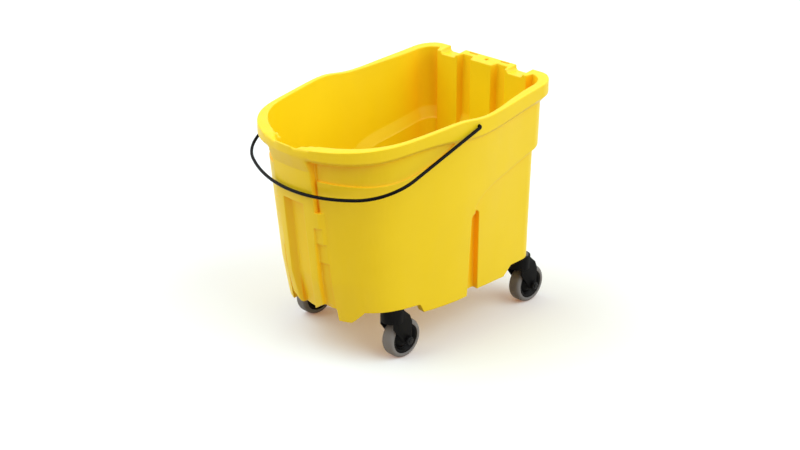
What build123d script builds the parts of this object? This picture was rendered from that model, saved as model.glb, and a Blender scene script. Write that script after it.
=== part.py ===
from build123d import *
from math import acos, atan2, cos, hypot, pi, radians, sin, tan
import os

# Mop bucket on four swivel casters with a wire bail.
# Millimetres. X to the right side, Y to the rear (wringer end), Z up, floor at Z = 0.
# The origin is under the middle of the bucket's length and width.

# Tub outline at the rim, seen from above, right half from the rear corner to the nose
RIM_HALF = 176.5
RIM_NOSE = 252.5
RIM_REAR = 229.0
RIM_CORNER = 44.0
RIM_CORNER_HALF = 162.0
RIM_SIDE = ((174.6, 49.0), (RIM_HALF, -4.0), (165.5, -104.5), (141.0, -184.0), (70.0, -241.0))

# Heights: the rim's top and the flange's lower edge as seen from the side, then the levels below
RIM_WAVE_FRONT = ((-254, 392.5), (-184, 398.7), (-104, 406.2), (-44, 413.8), (-10, 415.8))
RIM_WAVE_REAR = ((14, 413.6), (36, 412.1), (60, 413.3), (116, 420.6), (176, 428.6), (232, 437.4))
RIM_WAVE = RIM_WAVE_FRONT + RIM_WAVE_REAR
FLANGE_WAVE = ((-254, 377.0), (-150, 382.0), (-62, 389.0), (20, 384.0), (100, 393.0), (232, 412.4))
FLANGE_LOW = 330.0
FLANGE_BEVEL = {"front": (6.0, 6.0), "rear": (14.0, 14.0), "nose": (10.5, 25.0)}
RIM_REAR_TOP = 436.0
RIM_ABOVE = 470.0
WALL_TOP = 400.0
NOSE_KNEE = 150.0
SKIRT_BOTTOM = 81.0
FOOT_BOTTOM = 76.0
BASE = 98.0
FLOOR = 105.0

# Insets of the walls from the rim outline: side, nose, rear and rear corner
OUTER_TOP = (4.5, 14.0, 10.0, 12.0)
OUTER_KNEE = (22.9, 38.0, 11.5, 19.0)
OUTER_FOOT = (28.0, 52.0, 12.0, 20.0)
WALL = 5.6
NOSE_INSETS = (6.5, 30.5, 47.0)
CORNER_DRAFT = 0.25
SKIRT_WALL = 6.0
CUT_WIDTH = 260.0
FRONT = -300.0
REAR = 300.0
BEHIND_NOSE = -100.0

# Lower rear panel: how far it is set in, its upper edge as seen from the side, and the slope above it
PANEL_IN = 7.5
PANEL_EDGE = ((30.0, 232.0), (44.0, 257.0), (66.0, 271.0), (114.0, 285.0), (172.0, 300.0), (262.0, 318.0))
PANEL_BEVEL = 7.0
OUTER_STEP_TALL = 7.0
INNER_STEP_TALL = 20.0
INNER_STEP_DROP = 8.0

# Bail recess under the flange: its lower edge as seen from the side
RECESS_IN = 3.0
RECESS_EDGE = ((-262, 342.0), (-181, 332.0), (-112, 341.0), (-60, 362.0), (-22, 388.0))

# Side groove between the front lobe and the rear panel, open at the skirt
GROOVE_TOP = 238.0
GROOVE_TOP_Y = (22.0, 47.5)
GROOVE_FOOT_Y = (26.0, 65.0)
GROOVE_ROUND = 9.0
GROOVE_IN = 19.0
GROOVE_SHELL = 5.0

# Nose: raised panel above, two ribs below with a channel between them, and steps down beside the ribs
PANEL_HALF = 47.0
PANEL_FOOT = 279.0
PANEL_GROOVE_EDGE = 51.5
PANEL_GROOVE_TOP = 400.0
PANEL_GROOVE_IN = 4.0
RAMP_PLAN = ((39.6, -220.0), (66.0, -180.8))
NOSE_LEAN = 0.1
RIB_HALF_TOP = 43.5
RIB_HALF_FOOT = 38.0
STEP_FEET = (250.0, 220.5, 185.0)
STEP_INS = (0.0, 3.5, 7.0)
LOW_GROOVE_HALF = 58.0
LOW_GROOVE_IN = 2.5
CHANNEL_TOP = 289.5
CHANNEL_PLAN = ((44.0, -226.4), (16.0, -195.4), (16.0, -180.0))
CHANNEL_IN = 11.0
NOSE_PAD_HALF = 78.0
NOSE_PAD_HALF_TOP = 62.0
NOSE_PAD_SHOULDER = 300.0
NOSE_PAD_IN = 8.0
NOSE_PAD_TOP = 386.0
NOSE_ARCH = 103.5
NOSE_ARCH_BACK = -196.0
NOSE_KEEL = 80.0
NOSE_KEEL_HALF = (3.0, 37.0)

# Skirt: arches over the front casters and raised rear
ARCH_FOOT_Y = (-179.0, -67.0)
ARCH_TOP_Y = (-170.0, -81.0)
ARCH_SPREAD = 0.4
FOOT_INNER = 59.0
REAR_RISE_Y = (129.0, 148.0)

# Rear rim: pilasters inside, wringer notches over the outer two, slots, and the hole in the middle one
PILASTER_X = 84.0
PILASTER_HALF = 25.0
PILASTER_DRAFT = 7.0
PILASTER_FACE = 201.0
NOTCH_X = 81.5
NOTCH_HALF = 19.0
NOTCH_LONG = 66.0
NOTCH_DEEP = 9.0
NOTCH_ROUND = 6.0
BOSS_Y = 217.0
BOSS_HOLE = 3.5
BOSS_HOLE_DEEP = 24.0
SLOT_X = 38.5
SLOT_LONG = 20.0
SLOT_WIDE = 3.0
SLOT_DEEP = 12.0
SLOT_Y = 224.5
LIP_HALF = 31.0
LIP_LAND = 2.0
LIP_DROP = (0.8, 17.5)
LIP_REACH = 26.0

# Bail wire
PIVOT_Y = 16.0
PIVOT_Z = 402.0
WIRE = 2.8
RUNNING = 0.05
BAIL_HALF = 181.5
BAIL_LEAN = 0.4
BAIL_REACH = 274.0
BAIL_PIN_BEND = 4.5
BAIL_CORNER = 93.5
BAIL_CORNER_TURN = 63.75
BAIL_PIN_INNER = 169.3
PIVOT_DEEP = 7.5
BAIL_TILT = 19.5

# Casters, each about its swivel axis, with the wheel trailing to the rear
SWIVEL_X = 113.5
SWIVEL_Y = {"front": -119.5, "rear": 195.0}
TRAIL = 20.0
WHEEL_R = 35.2
WHEEL_HALF = 12.2
TYRE_INNER = 26.0
TYRE_EDGE = 28.8
TREAD_HALF = 7.0
SHOULDER_SHARES = (0, 0.34, 0.67, 1)
HUB_R = 9.5
HUB_HALF = 13.5
WEB_HALF = 4.0
WEB_R = 19.0
CORE_RIM_INNER = 23.0
CORE_RIM_HALF = 10.8
LEG_INNER = 14.0
LEG_OUTER = 18.0
LEG_FRONT = -11.5
LEG_KNEE = 63.0
LEG_REAR = 29.5
LEG_SHOULDER = 68.0
LEG_FOOT_R = 9.0
CROWN_R = 20.0
CROWN_BOTTOM = 72.5
CROWN_TOP = 97.3
CROWN_SLOPE_Y = (6.0, 24.5)
CROWN_SLOPE_END = 81.0
RACEWAY_R = 17.0
RACEWAY_FLOOR = 86.6
BALL = 3.6
BALL_RING = 12.0
BALL_COUNT = 8
BALL_SIDES = 8
BALL_SHARES = (-0.95, -0.55, 0.55, 0.95)
RACE_R = 16.4
RACE_THICK = 4.0
KINGPIN = 6.0
RIVET_R = 7.5
RIVET_THICK = 2.4
RIVET_GAP = 0.3
PRESS_GAP = 0.02
STEM = 5.5
SOCKET_DEEP = 30.0
SOCKET_WALL = 6.0
STEM_SHORT = 1.5
RING_GROOVE_Z = 117.0
RING_GROOVE_HIGH = 3.0
RING_GROOVE_R = 4.5
RING_SIDE_GAP = 0.1
RING_GAP = 40.0
AXLE = 4.0
BUSH = 6.0
BUSH_BORE = 4.1
AXLE_HEX = 6.5
AXLE_HEAD = 5.0
AXLE_NUT = 6.5
AXLE_END = 1.5


def plus(inset, grow):
    return tuple(value + grow for value in inset)


def with_nose(inset, nose):
    return (inset[0], nose, inset[2], inset[3])


def outline(height, inset):
    """Closed plan outline of the tub at one height, drawn in from the rim."""
    side, nose, rear, corner = inset
    back = RIM_REAR - rear
    half = RIM_CORNER_HALF - corner
    radius = RIM_CORNER - CORNER_DRAFT * (corner + rear)
    middle = radius * (1 - sin(radians(45)))
    start = (half, back - radius)
    shape = [start]
    for x, y in RIM_SIDE:
        span, drawn = (RIM_NOSE, nose) if y < 0 else (RIM_REAR, rear)
        shape.append((x * (1 - side / RIM_HALF), y * (1 - drawn / span)))
    shape.append((0, nose - RIM_NOSE))
    right = Spline(*shape, tangents=((0.08, -1), (-1, 0)))
    bend = ThreePointArc((half - radius, back), (half - middle, back - middle), start)
    rear_edge = Line((radius - half, back), (half - radius, back))
    edges = [bend, right]
    edges += [mirror(edge, about=Plane.YZ) for edge in edges]
    return Pos(0, 0, height) * make_face([rear_edge] + edges)


def tub_form(grow=0.0, bottom=FOOT_BOTTOM, nose=None):
    """Tapered body whose nose leans in more below the knee. It runs on above the rim."""
    top, knee, foot = (plus(inset, grow) for inset in (OUTER_TOP, OUTER_KNEE, OUTER_FOOT))
    if nose:
        insets = zip((top, knee, foot), plus(nose, grow))
        top, knee, foot = (with_nose(inset, value) for inset, value in insets)
    share = (RIM_ABOVE - NOSE_KNEE) / (WALL_TOP - NOSE_KNEE)
    above = tuple(low + (high - low) * share for low, high in zip(knee, top))
    sections = ((bottom, foot), (NOSE_KNEE, knee), (RIM_ABOVE, above))
    return loft([outline(height, inset) for height, inset in sections], ruled=True)


def side_cut(edges, x_from=-CUT_WIDTH, x_to=CUT_WIDTH):
    """Solid with a side-view outline (Y across, Z up), running from one X to another."""
    face = make_face([Plane.YZ * edge for edge in edges])
    return Pos(x_from, 0, 0) * extrude(face, x_to - x_from, dir=(1, 0, 0))


def side_poly(points, x_from=-CUT_WIDTH, x_to=CUT_WIDTH):
    return side_cut(Polyline(*points, close=True).edges(), x_from, x_to)


def front_poly(points, y_from=FRONT, y_to=BEHIND_NOSE):
    """Solid with a front-view outline (X across, Z up), running from one Y to another."""
    face = make_face(Polyline(*[(x, y_from, z) for x, z in points], close=True))
    return extrude(face, y_to - y_from, dir=(0, 1, 0))


def plan_poly(points, z_from, z_to):
    face = make_face(Polyline(*[(x, y, z_from) for x, y in points], close=True))
    return extrude(face, z_to - z_from, dir=(0, 0, 1))


def upright(radius, z_from, z_to):
    return Pos(0, 0, z_from) * Cylinder(radius, z_to - z_from, align=(Align.CENTER, Align.CENTER, Align.MIN))


def slab(z_from, z_to):
    size = (2 * CUT_WIDTH, REAR - FRONT, z_to - z_from)
    return Pos(0, 0, z_from) * Box(*size, align=(Align.CENTER, Align.CENTER, Align.MIN))


def under(curve_points, low=0.0):
    """Side-view outline below a smooth curve, down to a level."""
    first, last = curve_points[0], curve_points[-1]
    curve = Spline(*curve_points)
    frame = Polyline(last, (last[0], low), (first[0], low), first)
    return [curve] + list(frame.edges())


def both_sides(solid):
    return [solid, mirror(solid, about=Plane.YZ)]


def symmetric(points):
    """Front-view outline from the points of its right half, bottom first."""
    return list(points) + [(-x, z) for x, z in reversed(points)]


def over_panel(grow, drop, tall):
    """Form of the tub with the lower rear panels set in, and a slope from the wall down to them."""
    form = tub_form(grow)
    form -= Pos(0, 0, -drop) * side_cut(under(PANEL_EDGE)) - tub_form(grow + PANEL_IN)
    middle = tub_form(grow + 0.5 * PANEL_IN)
    flat = [face for face in form.faces().filter_by(GeomType.EXTRUSION) if face.normal_at().Z < -0.5]
    ledge = max(flat, key=lambda face: face.area)
    outer = [edge for edge in ledge.edges() if not middle.is_inside(edge @ 0.5)]
    return chamfer(outer, PANEL_BEVEL, tall, reference=ledge)


def bail_recess():
    recess = side_cut(under(FLANGE_WAVE)) - side_cut(under(RECESS_EDGE))
    end = RECESS_EDGE[-1][0]
    recess &= side_poly(((FRONT, 0), (end, 0), (end, RIM_ABOVE), (FRONT, RIM_ABOVE)))
    return recess - tub_form(RECESS_IN)


def side_groove(extra=0.0):
    top = GROOVE_TOP + extra
    y0, y1 = GROOVE_TOP_Y[0] - extra, GROOVE_TOP_Y[1] + extra
    f0, f1 = GROOVE_FOOT_Y[0] - extra, GROOVE_FOOT_Y[1] + extra
    frame = Polyline((f0, 0), (y0, top), (y1, top), (f1, 0), close=True)
    face = make_face(frame)
    face = fillet(face.vertices().group_by(Axis.Y)[-1], GROOVE_ROUND)
    return side_cut(face.edges(), 0) - tub_form(GROOVE_IN + extra)


def nose_front():
    """Front view of the raised nose: the panel over the two ribs."""
    right = (
        (RIB_HALF_FOOT, FOOT_BOTTOM),
        (RIB_HALF_TOP, PANEL_FOOT),
        (PANEL_HALF, PANEL_FOOT),
        (PANEL_HALF, RIM_ABOVE),
    )
    return front_poly(symmetric(right))


def leaning(right):
    """Block that leans as the nose does, from the right half of its plan at floor level."""
    plan = make_face(Polyline(*[(x, y, 0) for x, y in symmetric(right)], close=True))
    return extrude(plan, RIM_ABOVE, dir=(0, -NOSE_LEAN, 1))


def nose_raised():
    """The raised nose with the bridge and steps beside its ribs, and the channel cut into it."""
    raised = tub_form(nose=NOSE_INSETS) & nose_front()
    top = PANEL_FOOT
    for foot, depth in zip(STEP_FEET, STEP_INS):
        raised += tub_form(nose=plus(NOSE_INSETS, depth)) & slab(foot, top) & leaning(RAMP_PLAN)
        top = foot
    channel = leaning(CHANNEL_PLAN) & slab(0, CHANNEL_TOP)
    return raised, channel - tub_form(CHANNEL_IN, nose=NOSE_INSETS)


def nose_grooves():
    """Grooves beside the nose panel and, at the foot, beside the ribs."""
    cuts = []
    for half, low, high, depth in (
        (PANEL_GROOVE_EDGE, PANEL_FOOT, PANEL_GROOVE_TOP, PANEL_GROOVE_IN),
        (LOW_GROOVE_HALF, 0, STEP_FEET[-1], LOW_GROOVE_IN),
    ):
        groove = front_poly(((0, low), (half, low), (half, high), (0, high)))
        cuts += both_sides(groove - tub_form(depth))
    return cuts


def trapezoid(x, half, face_y, back_y, draft):
    """Plan of a pilaster: narrower at its face than at the wall."""
    return ((x + half + draft, back_y), (x - half - draft, back_y), (x - half, face_y), (x + half, face_y))


def stand_ins():
    """What stands into the tub: pilasters, groove backs, nose pad and stem sockets."""
    inner_wall = RIM_REAR - OUTER_TOP[2] - WALL
    pieces = []
    for x in (-PILASTER_X, 0, PILASTER_X):
        plan = trapezoid(x, PILASTER_HALF, PILASTER_FACE, inner_wall + WALL, PILASTER_DRAFT)
        pieces.append(plan_poly(plan, 0, RIM_ABOVE))
    pieces += both_sides(side_groove(GROOVE_SHELL))
    shoulder = (NOSE_PAD_HALF, NOSE_PAD_SHOULDER)
    pad = front_poly(symmetric(((NOSE_PAD_HALF, 0), shoulder, (NOSE_PAD_HALF_TOP, NOSE_PAD_TOP))))
    pad -= tub_form(WALL + NOSE_PAD_IN)
    pieces.append(pad)
    for y in SWIVEL_Y.values():
        for x in (SWIVEL_X, -SWIVEL_X):
            pieces.append(Pos(x, y, 0) * upright(STEM + SOCKET_WALL, 0, BASE + SOCKET_DEEP + SOCKET_WALL))
    return pieces


def cavity():
    """The water space, open at the top."""
    space = over_panel(WALL, INNER_STEP_DROP, INNER_STEP_TALL)
    for piece in stand_ins():
        space -= piece
    half = PANEL_HALF - WALL
    behind_panel = front_poly(symmetric(((half, CHANNEL_TOP + WALL), (half, RIM_ABOVE))))
    space += tub_form(WALL, nose=NOSE_INSETS) & behind_panel
    return space - slab(0, FLOOR)


def skirt_cuts():
    """Hollow under the floor, arches over the front casters, raised nose and raised rear."""
    hollow = tub_form(SKIRT_WALL + PANEL_IN) & slab(0, BASE)
    for piece in both_sides(side_groove(SKIRT_WALL)):
        hollow -= piece
    spread = ARCH_SPREAD * BASE
    arch = side_poly(
        (
            (ARCH_FOOT_Y[0] - spread, 0),
            (ARCH_TOP_Y[0], BASE),
            (ARCH_TOP_Y[1], BASE),
            (ARCH_FOOT_Y[1] + spread, 0),
        )
    )
    right = (
        (FOOT_INNER, 0),
        (FOOT_INNER, NOSE_ARCH),
        (NOSE_KEEL_HALF[1], NOSE_ARCH),
        (NOSE_KEEL_HALF[0], NOSE_KEEL),
    )
    nose = front_poly(symmetric(right), FRONT, NOSE_ARCH_BACK)
    nose += front_poly(symmetric(((FOOT_INNER, 0), (FOOT_INNER, BASE))), NOSE_ARCH_BACK)
    rear = side_poly(
        ((REAR_RISE_Y[0], SKIRT_BOTTOM), (REAR_RISE_Y[1], BASE), (REAR, BASE), (REAR, 0), (REAR_RISE_Y[0], 0))
    )
    sides = side_poly(((BEHIND_NOSE, 0), (REAR, 0), (REAR, SKIRT_BOTTOM), (BEHIND_NOSE, SKIRT_BOTTOM)))
    return [hollow, arch, nose, rear, sides]


def rim_cuts():
    """Wringer notches, thin slots, the middle hole and the pour lip."""
    low = (Align.CENTER, Align.CENTER, Align.MIN)
    notch = Box(2 * NOTCH_HALF, NOTCH_LONG, RIM_ABOVE - RIM_REAR_TOP, align=low)
    notch = fillet(notch.edges().filter_by(Axis.Y).group_by(Axis.Z)[0], NOTCH_ROUND)
    notch = Pos(NOTCH_X, RIM_REAR, RIM_REAR_TOP - NOTCH_DEEP) * notch
    slot = Box(SLOT_LONG, SLOT_WIDE, RIM_ABOVE - RIM_REAR_TOP, align=low)
    slot = Pos(SLOT_X, SLOT_Y, RIM_REAR_TOP - SLOT_DEEP) * slot
    hole = Pos(0, BOSS_Y, 0) * upright(BOSS_HOLE, RIM_REAR_TOP - BOSS_HOLE_DEEP, RIM_ABOVE)
    lip_front, lip_back = LIP_LAND - RIM_NOSE, LIP_REACH - RIM_NOSE
    rim_front = RIM_WAVE[0][1]
    lip = side_poly(
        (
            (FRONT, rim_front - LIP_DROP[0]),
            (lip_front, rim_front - LIP_DROP[0]),
            (lip_back, rim_front - LIP_DROP[1]),
            (lip_back, RIM_ABOVE),
            (FRONT, RIM_ABOVE),
        ),
        -LIP_HALF,
        LIP_HALF,
    )
    return both_sides(notch) + both_sides(slot) + [hole, lip]


def pivot_holes():
    """Blind holes for the ends of the bail."""
    hole = Rot(0, 90, 0) * Cylinder(WIRE + RUNNING, 2 * PIVOT_DEEP)
    return [Pos(x, PIVOT_Y, PIVOT_Z) * hole for x in (RIM_HALF, -RIM_HALF)]


def flange_part(place):
    """Overhanging rim all round, with its lower edge sloped back as it is at one place."""
    depth, tall = FLANGE_BEVEL[place]
    block = extrude(outline(FLANGE_LOW, (0, 0, 0, 0)), RIM_ABOVE - FLANGE_LOW)
    block -= Pos(0, 0, -tall) * side_cut(under(FLANGE_WAVE))
    bottom = min(block.faces(), key=lambda face: face.center().Z)
    return chamfer(bottom.edges(), depth, tall, reference=bottom)


def make_flange():
    """Overhanging rim: sloped under at the sides and rear, and running into the nose panel in front."""
    rear = side_poly(((PIVOT_Y, 0), (REAR, 0), (REAR, RIM_ABOVE), (PIVOT_Y, RIM_ABOVE)))
    nose = nose_front()
    return (flange_part("front") - rear - nose) + (flange_part("rear") & rear) + (flange_part("nose") & nose)


def make_tub():
    """The one-piece tub."""
    body = over_panel(0.0, 0.0, OUTER_STEP_TALL)
    for cut in [bail_recess()] + nose_grooves():
        body -= cut
    raised, channel = nose_raised()
    body = body + raised - channel + make_flange()
    body &= side_cut(under(RIM_WAVE))
    for cut in both_sides(side_groove()) + pivot_holes() + [cavity()] + skirt_cuts() + rim_cuts():
        body -= cut
    for y in SWIVEL_Y.values():
        for x in (SWIVEL_X, -SWIVEL_X):
            body -= Pos(x, y, 0) * upright(STEM + RUNNING, 0, BASE + SOCKET_DEEP)
    return body


def make_bail():
    """One bent wire: two end pins, two sides, two rounded corners and a long front arc."""
    lean, turn = radians(BAIL_LEAN), radians(BAIL_CORNER_TURN)
    sweep_angle = pi / 2 + lean - turn
    pin = Line((BAIL_PIN_INNER, 0), (BAIL_HALF - BAIL_PIN_BEND, 0))
    bend = JernArc(pin @ 1, pin % 1, BAIL_PIN_BEND, 90 - BAIL_LEAN)
    across = (bend @ 1).X - BAIL_CORNER * (cos(lean) - cos(turn - lean))
    along = (bend @ 1).Y + BAIL_CORNER * (sin(lean) + sin(turn - lean))
    rise = tan(sweep_angle / 2)
    length = (BAIL_REACH - along - across * rise) / (cos(lean) + rise * sin(lean))
    side = Line(bend @ 1, bend @ 1 + (bend % 1) * length)
    corner = JernArc(side @ 1, side % 1, BAIL_CORNER, BAIL_CORNER_TURN)
    front_radius = (corner @ 1).X / sin(sweep_angle)
    front = JernArc(corner @ 1, corner % 1, front_radius, sweep_angle * 180 / pi)
    section = Plane(origin=pin @ 0, z_dir=pin % 0) * Circle(WIRE)
    half = sweep(section, path=Wire([pin, bend, side, corner, front]))
    wire = half + mirror(half, about=Plane.YZ)
    return Pos(0, PIVOT_Y, PIVOT_Z) * Rot(180 + BAIL_TILT, 0, 0) * wire


def turned(points, angle=360.0):
    """Solid of revolution about the swivel axis from (radius, height) points."""
    face = make_face(Polyline(*[(radius, 0, height) for radius, height in points], close=True))
    return revolve(face, Axis.Z, angle)


def wheel_turned(edges):
    """Solid of revolution about the axle from edges drawn as (along the axle, radius)."""
    face = make_face([Plane.XZ * edge for edge in edges])
    return Pos(0, TRAIL, WHEEL_R) * revolve(face, Axis.X)


def axle_rod(radius, x_from, x_to):
    rod = Pos(x_from, 0, 0) * Rot(0, 90, 0) * upright(radius, 0, x_to - x_from)
    return Pos(0, TRAIL, WHEEL_R) * rod


def axle_hex(x_from, x_to):
    hexagon = Plane.YZ * RegularPolygon(AXLE_HEX, 6, major_radius=False)
    return Pos(x_from, TRAIL, WHEEL_R) * extrude(hexagon, x_to - x_from, dir=(1, 0, 0))


def make_stem():
    head_top = CROWN_BOTTOM - RIVET_GAP
    head_bottom = head_top - RIVET_THICK
    tip = BASE + SOCKET_DEEP - STEM_SHORT
    groove_top = RING_GROOVE_Z + RING_GROOVE_HIGH
    return turned(
        (
            (0, head_bottom),
            (RIVET_R, head_bottom),
            (RIVET_R, head_top),
            (KINGPIN, head_top),
            (KINGPIN, BASE),
            (STEM, BASE),
            (STEM, RING_GROOVE_Z),
            (RING_GROOVE_R, RING_GROOVE_Z),
            (RING_GROOVE_R, groove_top),
            (STEM, groove_top),
            (STEM, tip),
            (0, tip),
        )
    )


def make_grip_ring():
    low = RING_GROOVE_Z + RING_SIDE_GAP
    high = RING_GROOVE_Z + RING_GROOVE_HIGH - RING_SIDE_GAP
    inner = RING_GROOVE_R + RUNNING
    return turned(((inner, low), (STEM, low), (STEM, high), (inner, high)), 360 - RING_GAP)


def make_top_race():
    bore = KINGPIN + PRESS_GAP
    step = BASE - RACE_THICK
    return turned(((bore, step), (RACE_R, step), (RACE_R, BASE), (bore, BASE)))


def make_balls():
    """Ring of balls, each a small faceted form, standing in the fork's groove."""
    sections = []
    for share in BALL_SHARES:
        section = RegularPolygon(BALL * (1 - share**2) ** 0.5, BALL_SIDES)
        sections.append(Pos(0, 0, BALL * share) * section)
    ball = Pos(0, 0, RACEWAY_FLOOR + BALL) * loft(sections, ruled=True)
    return Compound(children=[place * ball for place in PolarLocations(BALL_RING, BALL_COUNT)])


def make_fork():
    """Moulded yoke: a round crown with the ball groove, a sloped back and two tapering legs."""
    crown = upright(CROWN_R, CROWN_BOTTOM, CROWN_TOP)
    back = side_poly(
        (
            (0, CROWN_BOTTOM),
            (CROWN_SLOPE_Y[1], CROWN_BOTTOM),
            (CROWN_SLOPE_Y[1], CROWN_SLOPE_END),
            (CROWN_SLOPE_Y[0], CROWN_TOP),
            (0, CROWN_TOP),
        ),
        -LEG_OUTER,
        LEG_OUTER,
    )
    reach_y, reach_z = LEG_FRONT - TRAIL, LEG_KNEE - WHEEL_R
    touch = atan2(reach_z, reach_y) + acos(LEG_FOOT_R / hypot(reach_y, reach_z))
    low = pi + touch / 2

    def foot(angle):
        return (TRAIL + LEG_FOOT_R * cos(angle), WHEEL_R + LEG_FOOT_R * sin(angle))

    outline_edges = [ThreePointArc(foot(0), foot(low), foot(touch))]
    frame = Polyline(
        foot(touch),
        (LEG_FRONT, LEG_KNEE),
        (LEG_FRONT, CROWN_SLOPE_END),
        (CROWN_SLOPE_Y[1], CROWN_SLOPE_END),
        (LEG_REAR, LEG_SHOULDER),
        foot(0),
    )
    leg = side_cut(outline_edges + list(frame.edges()), LEG_INNER, LEG_OUTER)
    fork = crown + back
    for piece in both_sides(leg):
        fork += piece
    fork -= upright(RACEWAY_R, RACEWAY_FLOOR, BASE)
    fork -= upright(KINGPIN + RUNNING, 0, BASE)
    return fork - axle_rod(AXLE + RUNNING, -LEG_OUTER, LEG_OUTER)


def make_wheel_core():
    bore = BUSH + RUNNING
    rim = TYRE_INNER - RUNNING
    right = (
        (HUB_HALF, bore),
        (HUB_HALF, HUB_R),
        (WEB_HALF, WEB_R),
        (CORE_RIM_HALF, CORE_RIM_INNER),
        (CORE_RIM_HALF, rim),
    )
    return wheel_turned(Polyline(*symmetric(right), close=True).edges())


def make_tyre():
    arc = TangentArc((TREAD_HALF, WHEEL_R), (WHEEL_HALF, TYRE_EDGE), tangent=(1, 0))
    shoulder = [tuple(arc @ share)[:2] for share in SHOULDER_SHARES]
    return wheel_turned(Polyline(*symmetric(shoulder + [(WHEEL_HALF, TYRE_INNER)]), close=True).edges())


def make_axle_bolt():
    shank = axle_rod(AXLE, -LEG_OUTER, LEG_OUTER + AXLE_NUT + AXLE_END)
    return axle_hex(-LEG_OUTER - AXLE_HEAD, -LEG_OUTER) + shank


def make_axle_nut():
    end = LEG_OUTER + AXLE_NUT
    return axle_hex(LEG_OUTER, end) - axle_rod(AXLE + PRESS_GAP, LEG_OUTER, end)


def make_axle_bush():
    return axle_rod(BUSH, -LEG_INNER, LEG_INNER) - axle_rod(BUSH_BORE, -LEG_INNER, LEG_INNER)


def caster_pieces():
    return {
        "stem": make_stem(),
        "grip_ring": make_grip_ring(),
        "top_race": make_top_race(),
        "balls": make_balls(),
        "fork": make_fork(),
        "axle_bolt": make_axle_bolt(),
        "axle_nut": make_axle_nut(),
        "axle_bush": make_axle_bush(),
        "wheel_core": make_wheel_core(),
        "tyre": make_tyre(),
    }


if __name__ == "__main__":
    os.makedirs("parts", exist_ok=True)
    export_step(make_tub(), "parts/bucket_body.step")
    export_step(make_bail(), "parts/bail_handle.step")
    for piece_name, piece in caster_pieces().items():
        for end, swivel_y in SWIVEL_Y.items():
            right_piece = Pos(SWIVEL_X, swivel_y, 0) * piece
            export_step(right_piece, f"parts/{end}_right_{piece_name}.step")
            export_step(mirror(right_piece, about=Plane.YZ), f"parts/{end}_left_{piece_name}.step")
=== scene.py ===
# %% [markdown]
# # A mop bucket on swivel casters
# The bucket is one yellow moulding with a wavy rim, a ribbed nose and an open rear seat for a wringer.
# A black wire bail hangs on it, and four small casters carry it. The measured model comes in first,
# as a fixed frame, and everything made below is laid over that frame.

# %% Load the measured model
import math

import bmesh
import bpy
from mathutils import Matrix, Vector


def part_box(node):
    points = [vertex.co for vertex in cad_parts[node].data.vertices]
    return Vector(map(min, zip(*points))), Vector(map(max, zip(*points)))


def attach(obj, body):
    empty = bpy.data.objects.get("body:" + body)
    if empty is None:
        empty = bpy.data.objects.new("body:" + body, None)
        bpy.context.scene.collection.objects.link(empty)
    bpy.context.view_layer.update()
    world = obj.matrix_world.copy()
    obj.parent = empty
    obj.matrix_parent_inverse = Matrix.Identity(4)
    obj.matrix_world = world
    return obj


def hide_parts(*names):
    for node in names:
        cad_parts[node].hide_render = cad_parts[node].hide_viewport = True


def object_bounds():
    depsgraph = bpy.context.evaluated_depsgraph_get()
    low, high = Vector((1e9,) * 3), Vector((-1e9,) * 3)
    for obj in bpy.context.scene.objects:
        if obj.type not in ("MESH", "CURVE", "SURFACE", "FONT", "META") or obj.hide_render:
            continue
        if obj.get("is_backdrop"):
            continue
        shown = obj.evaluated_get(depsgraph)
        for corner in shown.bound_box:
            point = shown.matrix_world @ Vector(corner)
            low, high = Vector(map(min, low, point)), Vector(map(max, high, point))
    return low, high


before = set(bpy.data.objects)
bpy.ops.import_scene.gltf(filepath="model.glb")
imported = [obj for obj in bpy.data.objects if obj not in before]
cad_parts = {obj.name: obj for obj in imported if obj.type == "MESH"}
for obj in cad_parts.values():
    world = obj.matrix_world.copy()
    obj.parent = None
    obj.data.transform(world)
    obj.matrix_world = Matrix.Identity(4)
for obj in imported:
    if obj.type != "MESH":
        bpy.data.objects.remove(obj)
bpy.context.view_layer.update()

# %% [markdown]
# ## Working tools
# Blender's operators act on whatever is selected, so each step first selects one piece and nothing else.
# In edit mode, faces and edges are picked by a test on their place, normal or sharpness.

# %% Selection helpers
CORNERS = ("front_right", "front_left", "rear_right", "rear_left")


def take(piece):
    """Selects one piece alone and makes it the active one."""
    bpy.ops.object.select_all(action="DESELECT")
    piece.select_set(True)
    bpy.context.view_layer.objects.active = piece


def pick(piece, kind, wanted):
    """In edit mode, selects the edges or faces that pass a test and no others, and counts them."""
    bpy.ops.mesh.select_mode(type=kind)
    bpy.ops.mesh.select_all(action="DESELECT")
    shape = bmesh.from_edit_mesh(piece.data)
    found = [item for item in (shape.edges if kind == "EDGE" else shape.faces) if wanted(item)]
    for item in found:
        item.select_set(True)
    bmesh.update_edit_mesh(piece.data)
    return len(found)


# %% [markdown]
# A piece that starts as a copy of a measured solid is welded first, because the import is loose triangles.
# Flat neighbours are then joined, so that only the real edges of the moulding are left as edges.

# %% Copying a measured solid
WELD, SPECK = 0.00002, 0.00001
FLAT = math.radians(0.4)


def welded_copy(node, name):
    """A copy of a measured solid with its own mesh, welded, flat faces joined, and no stored normals."""
    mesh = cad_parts[node].data.copy()
    mesh.name = name
    piece = bpy.data.objects.new(name, mesh)
    bpy.context.scene.collection.objects.link(piece)
    take(piece)
    if mesh.has_custom_normals:
        bpy.ops.mesh.customdata_custom_splitnormals_clear()
    bpy.ops.object.mode_set(mode="EDIT")
    bpy.ops.mesh.select_all(action="SELECT")
    bpy.ops.mesh.remove_doubles(threshold=WELD)
    bpy.ops.mesh.dissolve_degenerate(threshold=SPECK)
    bpy.ops.mesh.dissolve_limited(angle_limit=FLAT)
    bpy.ops.object.mode_set(mode="OBJECT")
    return piece


# %% [markdown]
# No moulded or turned edge is quite sharp. The small pieces get a bevel on every edge past an angle, and then smooth
# shading that stops at what is still sharp. A finished piece takes its material and goes on its body.

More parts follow.
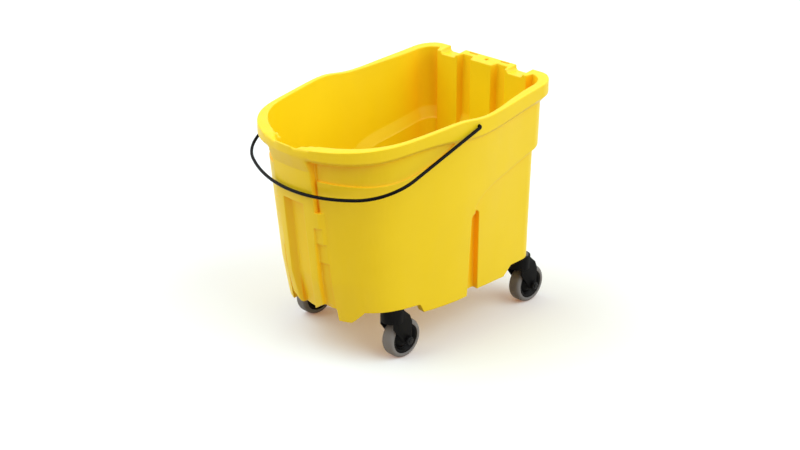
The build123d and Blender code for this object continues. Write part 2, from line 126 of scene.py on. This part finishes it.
# %% Rounding and settling
SMOOTH_TO = math.radians(38)


def round_edges(piece, radius, from_angle=30, segments=3):
    """Rounds every edge sharper than an angle, as a mould does, and smooths the rest."""
    take(piece)
    soft = piece.modifiers.new("mould_radius", "BEVEL")
    soft.limit_method = "ANGLE"
    soft.angle_limit = math.radians(from_angle)
    soft.width = radius
    soft.segments = segments
    soft.use_clamp_overlap = False
    bpy.ops.object.modifier_apply(modifier=soft.name)
    bpy.ops.object.shade_smooth_by_angle(angle=SMOOTH_TO)


def settle(piece, body, node, material):
    """Puts a finished piece on its body, in place of its measured solid."""
    piece.data.materials.clear()
    piece.data.materials.append(material)
    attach(piece, body)
    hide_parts(node)
    print(piece.name, "faces", len(piece.data.polygons))


# %% [markdown]
# ## Camera
# The camera stands at the front right corner, a little above the rim, with a fairly long lens.
# The lens axis meets the picture above its middle, so the sensor is shifted by that much and no more.

# %% Camera at the viewing angle
AZIMUTH, ELEVATION = math.radians(46.8), math.radians(22.1)
AIM = Vector((0.0, 0.0049, 0.230))
CAMERA_DISTANCE = 2.567
toward_camera = Vector((
    math.sin(AZIMUTH) * math.cos(ELEVATION),
    -math.cos(AZIMUTH) * math.cos(ELEVATION),
    math.sin(ELEVATION),
))
lens = bpy.data.cameras.new("studio_lens")
lens.lens = 66.07
lens.shift_y = -0.0364
camera = bpy.data.objects.new("studio_camera", lens)
bpy.context.scene.collection.objects.link(camera)
camera.location = AIM + toward_camera * CAMERA_DISTANCE
camera.rotation_mode = "QUATERNION"
camera.rotation_quaternion = (-toward_camera).to_track_quat("-Z", "Y")
bpy.context.scene.camera = camera
print("camera at", [round(value, 3) for value in camera.location])

# %% [markdown]
# ## Floor and light
# A pale sweep of floor runs to white, and its shadow is tan. To do that without more light on the bucket, the floor
# and the world each have two looks: one for the camera, mirrors and glass, and a quieter one that lights things.

# %% Two looks by kind of ray
scene = bpy.context.scene
scene.view_settings.view_transform = "Standard"


def two_looks(tree, lighting, seen, output):
    """Shows one shader to camera, glossy and transmission rays, and the other to the rays that light things."""
    ray = tree.nodes.new("ShaderNodeLightPath")
    clear = ray.outputs["Is Camera Ray"]
    for kind in ("Is Glossy Ray", "Is Transmission Ray"):
        either = tree.nodes.new("ShaderNodeMath")
        either.operation = "MAXIMUM"
        tree.links.new(clear, either.inputs[0])
        tree.links.new(ray.outputs[kind], either.inputs[1])
        clear = either.outputs[0]
    mix = tree.nodes.new("ShaderNodeMixShader")
    tree.links.new(clear, mix.inputs[0])
    tree.links.new(lighting.outputs[0], mix.inputs[1])
    tree.links.new(seen.outputs[0], mix.inputs[2])
    tree.links.new(mix.outputs[0], output.inputs["Surface"])


# %% [markdown]
# The floor's seen look is part glow and part paint. Where light reaches it the two add up to white, and in the
# shadow the warm glow is left.

# %% Floor
FLOOR_GLOW = (0.235, 0.10, 0.055, 1)
FLOOR_PAINT = (0.66, 0.87, 0.94, 1)
FLOOR_BOUNCE = (0.50, 0.40, 0.30, 1)
FLOOR_SIZE = 40
bpy.ops.object.select_all(action="DESELECT")
bpy.ops.mesh.primitive_plane_add(size=FLOOR_SIZE)
floor = bpy.context.active_object
floor.name = "studio_floor"
floor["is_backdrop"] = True
floor_paint = bpy.data.materials.new("pale_floor")
floor_paint.use_nodes = True
tree = floor_paint.node_tree
seen = tree.nodes["Principled BSDF"]
seen.inputs["Base Color"].default_value = FLOOR_PAINT
seen.inputs["Roughness"].default_value = 0.9
seen.inputs["Specular IOR Level"].default_value = 0.0
seen.inputs["Emission Color"].default_value = FLOOR_GLOW
seen.inputs["Emission Strength"].default_value = 1.0
lighting = tree.nodes.new("ShaderNodeBsdfDiffuse")
lighting.inputs["Color"].default_value = FLOOR_BOUNCE
two_looks(tree, lighting, seen, tree.nodes["Material Output"])
floor.data.materials.append(floor_paint)
print("floor", floor.dimensions[:])

# %% [markdown]
# Three broad lamps light the bucket: one above, one at the right for the long side, and one at the front left for
# the nose and the rear wall inside. Area lamps would need places and sizes, so distant lamps with a wide spread are
# used: they give the same soft light everywhere.

# %% Lamps
LAMP_COLOUR = (0.94, 0.98, 1.0)


def soft_lamp(name, direction, strength, spread):
    """A broad distant lamp that shines from a direction."""
    light = bpy.data.lights.new(name, "SUN")
    light.energy = strength
    light.angle = math.radians(spread)
    light.color = LAMP_COLOUR
    lamp = bpy.data.objects.new(name, light)
    scene.collection.objects.link(lamp)
    lamp.rotation_mode = "QUATERNION"
    lamp.rotation_quaternion = Vector(direction).to_track_quat("Z", "Y")
    return lamp


soft_lamp("overhead_softbox", (0.25, 0.35, 1.0), 1.6, 120)
soft_lamp("right_softbox", (1.0, 0.35, 0.7), 1.5, 60)
soft_lamp("left_softbox", (-1.0, -0.95, 1.2), 2.1, 70)

# %% [markdown]
# In a studio the walls send some light back from all round. The world does that here, in a warm tone that keeps the
# shaded faces of the yellow plastic from going green.

# %% World
WORLD_FILL = 0.3
WORLD_COLOUR = (1.0, 0.56, 0.34, 1)
world = bpy.data.worlds.new("studio_world")
scene.world = world
world.use_nodes = True
sky = world.node_tree
fill = sky.nodes["Background"]
fill.inputs["Color"].default_value = WORLD_COLOUR
fill.inputs["Strength"].default_value = WORLD_FILL
white = sky.nodes.new("ShaderNodeBackground")
white.inputs["Color"].default_value = (1, 1, 1, 1)
two_looks(sky, fill, white, sky.nodes["World Output"])
print("world fill", WORLD_FILL)

# %% [markdown]
# ## Finishes
# All the plastics here come out of a textured mould, so they share one grain: fine pits for the bump and slow
# clouds for tone. It is a node group, placed in each material with its own scale.

# %% The shared mould grain
PIT_SCALE, CLOUD_SCALE, STREAK_SCALE = 1400, 9, 60
STREAK_DRAW = (1.0, 1.0, 0.12)


def noise(tree, vector, scale, detail=2.0):
    node = tree.nodes.new("ShaderNodeTexNoise")
    node.inputs["Scale"].default_value = scale
    node.inputs["Detail"].default_value = detail
    tree.links.new(vector, node.inputs["Vector"])
    return node.outputs["Fac"]


grain = bpy.data.node_groups.new("mould_grain", "ShaderNodeTree")
size_socket = grain.interface.new_socket("Size", in_out="INPUT", socket_type="NodeSocketFloat")
size_socket.default_value = 1.0
for output_name in ("Pits", "Clouds", "Streaks"):
    grain.interface.new_socket(output_name, in_out="OUTPUT", socket_type="NodeSocketFloat")
grain_in = grain.nodes.new("NodeGroupInput")
grain_out = grain.nodes.new("NodeGroupOutput")
place = grain.nodes.new("ShaderNodeTexCoord")
sized = grain.nodes.new("ShaderNodeVectorMath")
sized.operation = "SCALE"
grain.links.new(place.outputs["Object"], sized.inputs[0])
grain.links.new(grain_in.outputs["Size"], sized.inputs["Scale"])
drawn = grain.nodes.new("ShaderNodeMapping")
drawn.inputs["Scale"].default_value = STREAK_DRAW
grain.links.new(sized.outputs["Vector"], drawn.inputs["Vector"])
grain.links.new(noise(grain, sized.outputs["Vector"], PIT_SCALE, 1.0), grain_out.inputs["Pits"])
grain.links.new(noise(grain, sized.outputs["Vector"], CLOUD_SCALE, 3.0), grain_out.inputs["Clouds"])
grain.links.new(noise(grain, drawn.outputs["Vector"], STREAK_SCALE, 4.0), grain_out.inputs["Streaks"])
print("grain outputs", [item.name for item in grain.interface.items_tree])

# %% [markdown]
# One builder makes all the finishes. Two close tones drift with the clouds, the roughness follows the streaks, and
# the pits make a fine bump, because even a new moulding is never one flat colour.

# %% A builder for grained finishes
NOISE_LOW, NOISE_HIGH = 0.3, 0.7
BUMP_STRENGTH = 0.5


def mapped(tree, value, low, high):
    node = tree.nodes.new("ShaderNodeMapRange")
    node.inputs["From Min"].default_value = NOISE_LOW
    node.inputs["From Max"].default_value = NOISE_HIGH
    node.inputs["To Min"].default_value = low
    node.inputs["To Max"].default_value = high
    tree.links.new(value, node.inputs["Value"])
    return node.outputs["Result"]


def grained(name, dark, light, rough, pit_depth, gloss=0.5, size=1.0):
    """A finish whose colour drifts between two tones and whose gloss and bump follow the mould grain."""
    material = bpy.data.materials.new(name)
    material.use_nodes = True
    tree = material.node_tree
    shader = tree.nodes["Principled BSDF"]
    shader.inputs["Specular IOR Level"].default_value = gloss
    texture = tree.nodes.new("ShaderNodeGroup")
    texture.node_tree = grain
    texture.inputs["Size"].default_value = size
    tone = tree.nodes.new("ShaderNodeMix")
    tone.data_type = "RGBA"
    tone.inputs["A"].default_value = (*dark, 1)
    tone.inputs["B"].default_value = (*light, 1)
    tree.links.new(mapped(tree, texture.outputs["Clouds"], 0.0, 1.0), tone.inputs["Factor"])
    tree.links.new(tone.outputs["Result"], shader.inputs["Base Color"])
    tree.links.new(mapped(tree, texture.outputs["Streaks"], *rough), shader.inputs["Roughness"])
    bump = tree.nodes.new("ShaderNodeBump")
    bump.inputs["Distance"].default_value = pit_depth
    bump.inputs["Strength"].default_value = BUMP_STRENGTH
    tree.links.new(texture.outputs["Pits"], bump.inputs["Height"])
    tree.links.new(bump.outputs["Normal"], shader.inputs["Normal"])
    return material, shader


# %% [markdown]
# The tub is satin polypropylene in a strong yellow. Its hollows and inner corners are given painted shade: Ambient
# Occlusion measures how closed in a point is, and moves the colour that way, towards orange.

# %% Yellow of the tub
yellow_plastic, yellow_shader = grained(
    "yellow_plastic", (0.85, 0.68, 0.004), (0.88, 0.71, 0.006), (0.36, 0.46), 0.00005, 0.4
)
# Painted shade: where the surface is closed in (hollows, creases, inner corners) the base colour is pushed to orange.
SHADE_PAINT_ORANGE = (1.0, 0.53, 0.004, 1)
SHADE_PAINT_REACH = 0.10
SHADE_PAINT_FROM, SHADE_PAINT_FULL = 0.95, 0.35
tree = yellow_plastic.node_tree
shade_occlusion = tree.nodes.new("ShaderNodeAmbientOcclusion")
shade_occlusion.only_local = True
shade_occlusion.samples = 8
shade_occlusion.inputs["Distance"].default_value = SHADE_PAINT_REACH
painted_shade_mask = tree.nodes.new("ShaderNodeMapRange")
painted_shade_mask.inputs["From Min"].default_value = SHADE_PAINT_FROM
painted_shade_mask.inputs["From Max"].default_value = SHADE_PAINT_FULL
tree.links.new(shade_occlusion.outputs["AO"], painted_shade_mask.inputs["Value"])
painted_shade_mix = tree.nodes.new("ShaderNodeMix")
painted_shade_mix.data_type = "RGBA"
painted_shade_mix.inputs["B"].default_value = SHADE_PAINT_ORANGE
tree.links.new(painted_shade_mask.outputs["Result"], painted_shade_mix.inputs["Factor"])
open_colour = yellow_shader.inputs["Base Color"].links[0].from_socket
tree.links.new(open_colour, painted_shade_mix.inputs["A"])
tree.links.new(painted_shade_mix.outputs["Result"], yellow_shader.inputs["Base Color"])
print("hollow reach", SHADE_PAINT_REACH)

# %% [markdown]
# The wire has a thin gloss, the casters are dull nylon, the tyres grey rubber. The hidden hardware is zinc plated.

# %% The other finishes
black_wire, _ = grained("black_wire", (0.0015, 0.001, 0.001), (0.0025, 0.002, 0.002), (0.14, 0.2), 0.00002, 0.06)
black_nylon, _ = grained("black_nylon", (0.003, 0.003, 0.003), (0.005, 0.005, 0.005), (0.4, 0.55), 0.00005, 0.06)
black_core, _ = grained("black_core", (0.002, 0.002, 0.002), (0.004, 0.004, 0.004), (0.25, 0.36), 0.00004, 0.08)
grey_rubber, _ = grained("grey_rubber", (0.165, 0.172, 0.172), (0.195, 0.203, 0.203), (0.5, 0.62), 0.00006, 0.3)
dark_steel, dark_shader = grained(
    "dark_steel", (0.008, 0.008, 0.008), (0.014, 0.014, 0.015), (0.35, 0.5), 0.00002, 0.3, 2.0
)
dark_shader.inputs["Metallic"].default_value = 0.6
zinc_steel, zinc_shader = grained(
    "zinc_steel", (0.10, 0.10, 0.10), (0.15, 0.15, 0.152), (0.45, 0.6), 0.00002, 0.5, 2.0
)
zinc_shader.inputs["Metallic"].default_value = 0.9
print("finishes", [m.name for m in bpy.data.materials if m.use_nodes])

# %% [markdown]
# ## Tub
# The tub's form is measured, so its copy is kept and only its edges change: a moulding has no knife edges. A bevel
# needs room beside each edge, which narrow steps and run-outs don't give. A remesh needs none: it lays an even skin
# of small faces over the whole form. Its Sharp mode keeps the edges straight, where voxels would leave small stairs,
# and Shrinkwrap then lays the skin exactly on the measured solid.

# %% An even skin
SKIN_DEPTH, SKIN_SHARE = 9, 0.98
tub = welded_copy("bucket_body", "tub_moulding")
take(tub)
skin = tub.modifiers.new("even_skin", "REMESH")
skin.mode = "SHARP"
skin.octree_depth = SKIN_DEPTH
skin.scale = SKIN_SHARE
skin.use_remove_disconnected = False
bpy.ops.object.modifier_apply(modifier=skin.name)
wrap = tub.modifiers.new("wrap", "SHRINKWRAP")
wrap.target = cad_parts["bucket_body"]
wrap.wrap_method = "NEAREST_SURFACEPOINT"
bpy.ops.object.modifier_apply(modifier=wrap.name)
print("skin faces", len(tub.data.polygons))

# %% [markdown]
# A few rounds of smoothing then pull each edge into a small radius and leave the flat faces flat. The two ends of
# the pour lip get more of it, because there the step in the rim runs out to nothing.

# %% Moulded radii
EDGE_ROUNDS, LIP_ROUNDS = 10, 80
LIP_SPAN, LIP_FRONT, LIP_FOOT = (0.020, 0.056), -0.205, 0.368
ease = tub.modifiers.new("ease", "SMOOTH")
ease.factor = 0.5
ease.iterations = EDGE_ROUNDS
bpy.ops.object.modifier_apply(modifier=ease.name)


def lip_end(face):
    """Faces round the two ends of the pour lip."""
    x, y, z = face.calc_center_median()
    return LIP_SPAN[0] < abs(x) < LIP_SPAN[1] and y < LIP_FRONT and z > LIP_FOOT


bpy.ops.object.mode_set(mode="EDIT")
print("lip faces", pick(tub, "FACE", lip_end))
bpy.ops.mesh.vertices_smooth(factor=0.5, repeat=LIP_ROUNDS)
bpy.ops.object.mode_set(mode="OBJECT")

# %% [markdown]
# The skin has far more faces than its flat walls need. Decimate thins it where it is flat and keeps the rounded edges.

# %% Thin the skin
TUB_TRIANGLES = 185000
thin = tub.modifiers.new("thin", "DECIMATE")
thin.ratio = TUB_TRIANGLES / (2 * len(tub.data.polygons))
bpy.ops.object.modifier_apply(modifier=thin.name)
print("thinned to", len(tub.data.polygons))

# %% [markdown]
# A wringer hooks on the rear rim, so there are two narrow slots and a round hole in it. They are finer than the skin,
# and smoothing would close them. So they are cut last, each with a cutter whose space Boolean takes away.

# %% Slots and hole in the rear rim
RIM_TOP = 0.4354
SLOT_SIZE = (0.020, 0.0032, 0.024)
SLOT_PLACES = ((-0.0385, 0.2245), (0.0385, 0.2245))
HOLE_RADIUS, HOLE_DEEP, HOLE_PLACE = 0.0036, 0.024, (0.0, 0.217)
TUB_SMOOTH_TO = math.radians(50)


def cut_away(piece, cutter):
    """Takes a cutter's space out of a piece, and then the cutter itself."""
    take(piece)
    cut = piece.modifiers.new("cut", "BOOLEAN")
    cut.object = cutter
    bpy.ops.object.modifier_apply(modifier=cut.name)
    bpy.data.objects.remove(cutter)


for x, y in SLOT_PLACES:
    bpy.ops.object.select_all(action="DESELECT")
    bpy.ops.mesh.primitive_cube_add(size=1, location=(x, y, RIM_TOP), scale=SLOT_SIZE)
    cut_away(tub, bpy.context.active_object)
bpy.ops.object.select_all(action="DESELECT")
bpy.ops.mesh.primitive_cylinder_add(
    vertices=32, radius=HOLE_RADIUS, depth=2 * HOLE_DEEP, location=(*HOLE_PLACE, RIM_TOP)
)
cut_away(tub, bpy.context.active_object)
take(tub)
bpy.ops.object.shade_smooth_by_angle(angle=TUB_SMOOTH_TO)
settle(tub, "bucket", "bucket_body", yellow_plastic)

# %% [markdown]
# ## Bail
# One steel wire, coated black. A curve with a round bevel could make it, but the measured solid already has its bends
# and its pins, so its copy is kept. It is smooth all along, and its two cut ends are slightly rounded.

# %% Bail wire
WIRE_END_RADIUS = 0.0006
bail = welded_copy("bail_handle", "bail_wire")
round_edges(bail, WIRE_END_RADIUS, 50, 2)
settle(bail, "bail", "bail_handle", black_wire)

# %% [markdown]
# ## Wheels
# A wheel is a black core with a grey tyre moulded round it. Both are round, so each starts as a cylinder on the
# axle. For the tyre the two ends are inset to the core's radius and opened, the openings are bridged into a
# bore, and the outer edges get a wide bevel for the rounded shoulders. The black disc shows a little wider than
# the measured core, so it is drawn that much larger, and the tyre's bore with it.

# %% Where the wheel stands
WHEEL_SIDES = 128
CORE_WIDER = 0.001
tyre_low, tyre_high = (Vector(corner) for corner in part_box("front_right_tyre"))
core_low, core_high = (Vector(corner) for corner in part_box("front_right_wheel_core"))
axle = (tyre_low + tyre_high) / 2
wheel_radius = (tyre_high.z - tyre_low.z) / 2
core_radius = (core_high.z - core_low.z) / 2 + CORE_WIDER
tyre_half = (tyre_high.x - tyre_low.x) / 2
hub_half = (core_high.x - core_low.x) / 2
print("wheel radius", round(wheel_radius, 4), "core radius", round(core_radius, 4))


def axle_cylinder(name, radius, half):
    """A cylinder on the front right axle, left in edit mode."""
    bpy.ops.object.select_all(action="DESELECT")
    bpy.ops.mesh.primitive_cylinder_add(
        vertices=WHEEL_SIDES, radius=radius, depth=2 * half, location=axle, rotation=(0, math.pi / 2, 0)
    )
    piece = bpy.context.active_object
    piece.name = name
    piece.data.name = name
    bpy.ops.object.transform_apply(location=True, rotation=True)
    bpy.ops.object.mode_set(mode="EDIT")
    return piece


def open_bore(piece):
    """Takes away the two selected end faces and joins their edges into a bore."""
    bpy.ops.mesh.delete(type="FACE")
    pick(piece, "EDGE", lambda edge: edge.is_boundary)
    bpy.ops.mesh.bridge_edge_loops()
    bpy.ops.mesh.select_all(action="SELECT")
    bpy.ops.mesh.normals_make_consistent(inside=False)


def end_face(face):
    return abs(face.normal.x) > 0.99


# %% Tyre
SHOULDER, TYRE_EDGE_RADIUS = 0.0058, 0.0004
NEAR, SAME = 0.0005, 0.0001
tyre = axle_cylinder("front_right_tyre_ring", wheel_radius, tyre_half)
pick(tyre, "FACE", end_face)
bpy.ops.mesh.inset(thickness=wheel_radius - core_radius)
open_bore(tyre)


def outer_edge(edge):
    """Edges round the two outer corners of the tyre."""
    sides = [vert.co - axle for vert in edge.verts]
    level = abs(sides[0].x - sides[1].x) < SAME
    return level and all(math.hypot(side.y, side.z) > wheel_radius - NEAR for side in sides)


print("corner edges", pick(tyre, "EDGE", outer_edge))
bpy.ops.mesh.bevel(offset=SHOULDER, segments=6, profile=0.5, affect="EDGES")
bpy.ops.object.mode_set(mode="OBJECT")
round_edges(tyre, TYRE_EDGE_RADIUS, 40, 2)

# %% [markdown]
# The core is a dish on each side: a flat lip inside the tyre, a slope down to a thin web, and a cone up to the
# hub. Each ring is one more inset of the end faces, and scaling along the axle then moves both ends in or out.

# %% Wheel core
LIP_HALF, LIP_INNER = 0.0108, 0.023
WEB_HALF, WEB_RADIUS = 0.004, 0.019
HUB_RADIUS, BORE_RADIUS = 0.0095, 0.00605
CORE_EDGE_RADIUS = 0.0008
core = axle_cylinder("front_right_core_disc", core_radius, LIP_HALF)
pick(core, "FACE", end_face)
radius, half = core_radius, LIP_HALF
for next_radius, next_half in (
    (LIP_INNER, LIP_HALF), (WEB_RADIUS, WEB_HALF), (HUB_RADIUS, hub_half), (BORE_RADIUS, hub_half),
):
    bpy.ops.mesh.inset(thickness=radius - next_radius)
    bpy.ops.transform.resize(value=(next_half / half, 1, 1), center_override=axle)
    radius, half = next_radius, next_half
open_bore(core)
bpy.ops.object.mode_set(mode="OBJECT")
round_edges(core, CORE_EDGE_RADIUS, 20, 3)
print("core rings", len(core.data.polygons) // WHEEL_SIDES)

# %% [markdown]
# The other three wheels are the same parts, so they are copies of the first, each with its own mesh, moved
# across to the next axle.

# %% Wheels on all four corners
def copied(piece, name, shift):
    """A copy with its own mesh, moved, with the move applied to the mesh."""
    take(piece)
    bpy.ops.object.duplicate(linked=False)
    twin = bpy.context.active_object
    twin.name = name
    twin.data.name = name
    bpy.ops.transform.translate(value=shift)
    bpy.ops.object.transform_apply(location=True)
    return twin


for corner in CORNERS:
    low, high = (Vector(point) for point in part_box(f"{corner}_tyre"))
    shift = (low + high) / 2 - axle
    first = corner == "front_right"
    ring = tyre if first else copied(tyre, f"{corner}_tyre_ring", shift)
    disc = core if first else copied(core, f"{corner}_core_disc", shift)
    settle(ring, f"{corner}_wheel", f"{corner}_tyre", grey_rubber)
    settle(disc, f"{corner}_wheel", f"{corner}_wheel_core", black_core)

# %% [markdown]
# ## Yokes and axle fasteners
# The yoke is a black moulding with two legs, and a bolt and nut clamp the axle in it. Their measured copies have room
# beside every edge, so here a plain bevel is enough. The nut and the bolt head have their corners broken.

# %% Yokes, bolts and nuts
YOKE_SHARP = 25
YOKE_PIECES = {
    "fork": ("black_plastic", black_nylon, 0.0008),
    "axle_bolt": ("dark_steel", dark_steel, 0.0005),
    "axle_nut": ("dark_steel", dark_steel, 0.0005),
}
for corner in CORNERS:
    for part, (slot, finish, radius) in YOKE_PIECES.items():
        piece = welded_copy(f"{corner}_{part}", f"{corner}_{part}_piece")
        round_edges(piece, radius, YOKE_SHARP)
        settle(piece, f"{corner}_yoke", f"{corner}_{part}", finish)

# %% [markdown]
# ## Hidden hardware
# The stems, grip rings, races, balls and bushes sit inside the casters. They keep their measured shapes.

# %% Zinc on the hidden hardware
HIDDEN = ("stem", "grip_ring", "top_race", "balls", "axle_bush")
for corner in CORNERS:
    for part in HIDDEN:
        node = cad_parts[f"{corner}_{part}"]
        node.data.materials.clear()
        node.data.materials.append(zinc_steel)
print("zinc parts", len(HIDDEN) * len(CORNERS))

# %% [markdown]
# The finished look is meant to fill the same box as the measured model. Its box is found here.

# %% Box of the finished look
low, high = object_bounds()
